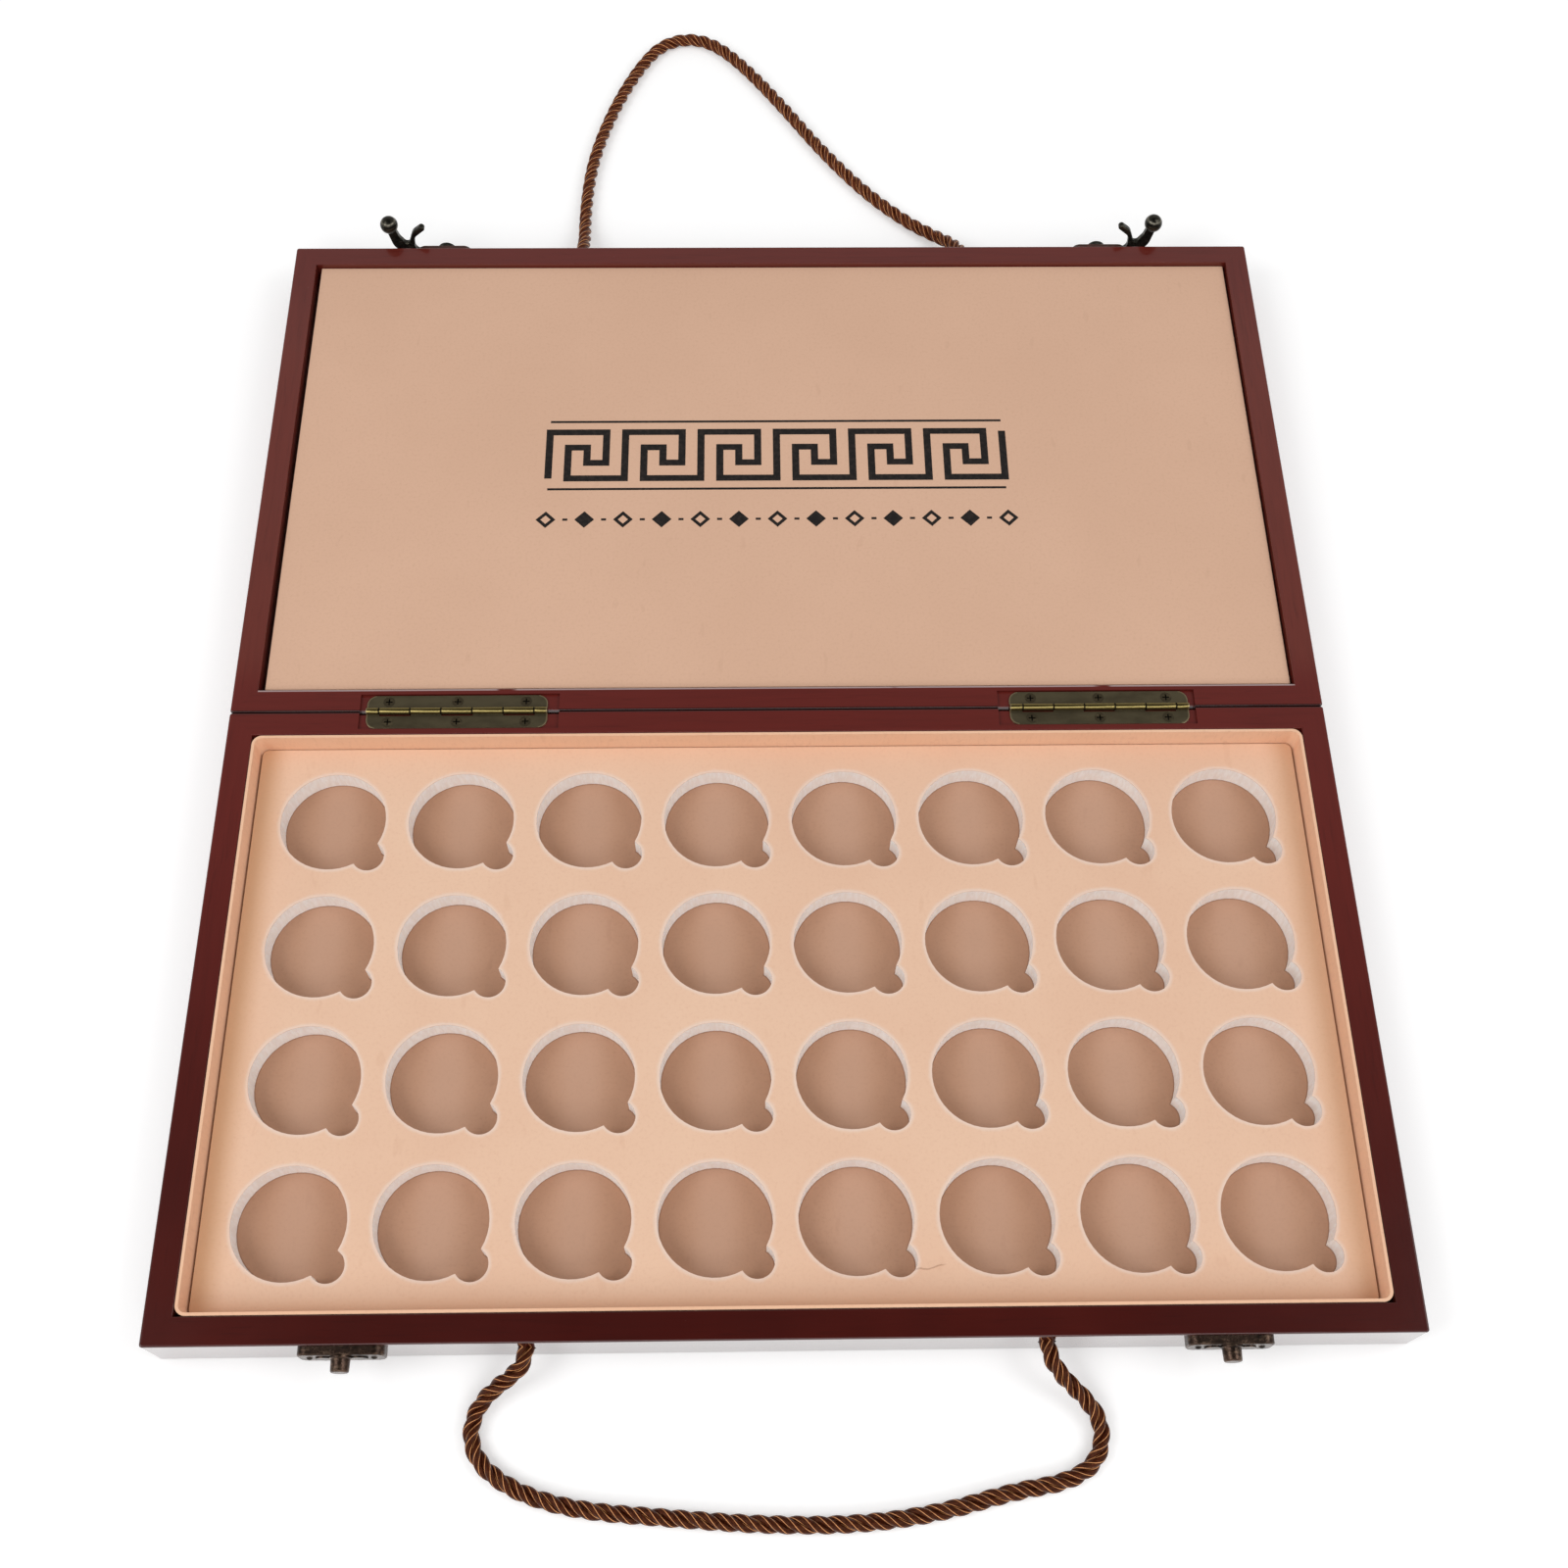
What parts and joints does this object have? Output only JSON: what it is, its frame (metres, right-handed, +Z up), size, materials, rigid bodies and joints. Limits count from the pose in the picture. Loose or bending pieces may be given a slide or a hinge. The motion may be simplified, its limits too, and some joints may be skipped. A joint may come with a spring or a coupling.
{
  "type": "xiangqi chess box",
  "caption": "Folding xiangqi chess box lying open, with a pocketed tray, butt hinges, two horn latches and rope handles.",
  "frame": {"origin": "on the floor under the hinge line, midway along it", "axes": "+X along the hinge line to the right, +Y from the base half to the lid half, +Z up"},
  "size_m": [0.48, 0.7803, 0.0385],
  "materials": {
    "lacquered_wood": "glossy dark mahogany lacquer",
    "playing_board": "satin varnished, with the grid of the game drawn on it",
    "tray_paper": "matte wrapping paper over board",
    "foam": "closed-cell foam, matte",
    "pad_paper": "matte flocked paper",
    "liner_paper": "matte paper over board",
    "hinge_bronze": "dark antiqued",
    "hinge_pin_brass": "worn",
    "screw_steel": "blackened",
    "catch_bronze": "dark antiqued cast",
    "nail_steel": "blackened",
    "latch_black": "black, worn",
    "rope": "twisted satin cord, dark brown with copper threads"
  },
  "bodies": {
    "base": {"base_front_wall": "lacquered_wood", "base_hinge_wall": "lacquered_wood", "base_left_wall": "lacquered_wood", "base_right_wall": "lacquered_wood", "base_board": "playing_board", "tray_shell": "tray_paper", "pocket_pad": "foam", "pad_cover": "pad_paper", "left_hinge_base_leaf": "hinge_bronze", "right_hinge_base_leaf": "hinge_bronze", "left_hinge_pin": "hinge_pin_brass", "right_hinge_pin": "hinge_pin_brass", "base_hinge_screws": "screw_steel", "left_catch_plate": "catch_bronze", "right_catch_plate": "catch_bronze", "left_catch_stud": "catch_bronze", "right_catch_stud": "catch_bronze", "catch_nails": "nail_steel", "base_cord": "rope", "base_cord_knots": "rope"},
    "lid": {"lid_front_wall": "lacquered_wood", "lid_hinge_wall": "lacquered_wood", "lid_left_wall": "lacquered_wood", "lid_right_wall": "lacquered_wood", "lid_board": "playing_board", "lid_liner": "liner_paper", "lid_filler": "foam", "left_hinge_lid_leaf": "hinge_bronze", "right_hinge_lid_leaf": "hinge_bronze", "lid_hinge_screws": "screw_steel", "left_latch_plate": "latch_black", "right_latch_plate": "latch_black", "left_latch_rivet": "latch_black", "right_latch_rivet": "latch_black", "latch_nails": "nail_steel", "lid_cord": "rope", "lid_cord_knots": "rope"},
    "left_latch": {"left_latch_lever": "latch_black"},
    "right_latch": {"right_latch_lever": "latch_black"}
  },
  "joints": [
    {"name": "lid_hinge", "type": "hinge", "parent": "base", "child": "lid", "pos_m": [0, 0, 0.0262], "axis": [1, 0, 0], "range_deg": [0, 180]},
    {"name": "left_latch_pivot", "type": "hinge", "parent": "lid", "child": "left_latch", "pos_m": [-0.166, 0.27415, 0.0173], "axis": [0, 1, 0], "range_deg": [0, 40]},
    {"name": "right_latch_pivot", "type": "hinge", "parent": "lid", "child": "right_latch", "pos_m": [0.166, 0.27415, 0.0173], "axis": [0, -1, 0], "range_deg": [0, 40]}
  ]
}
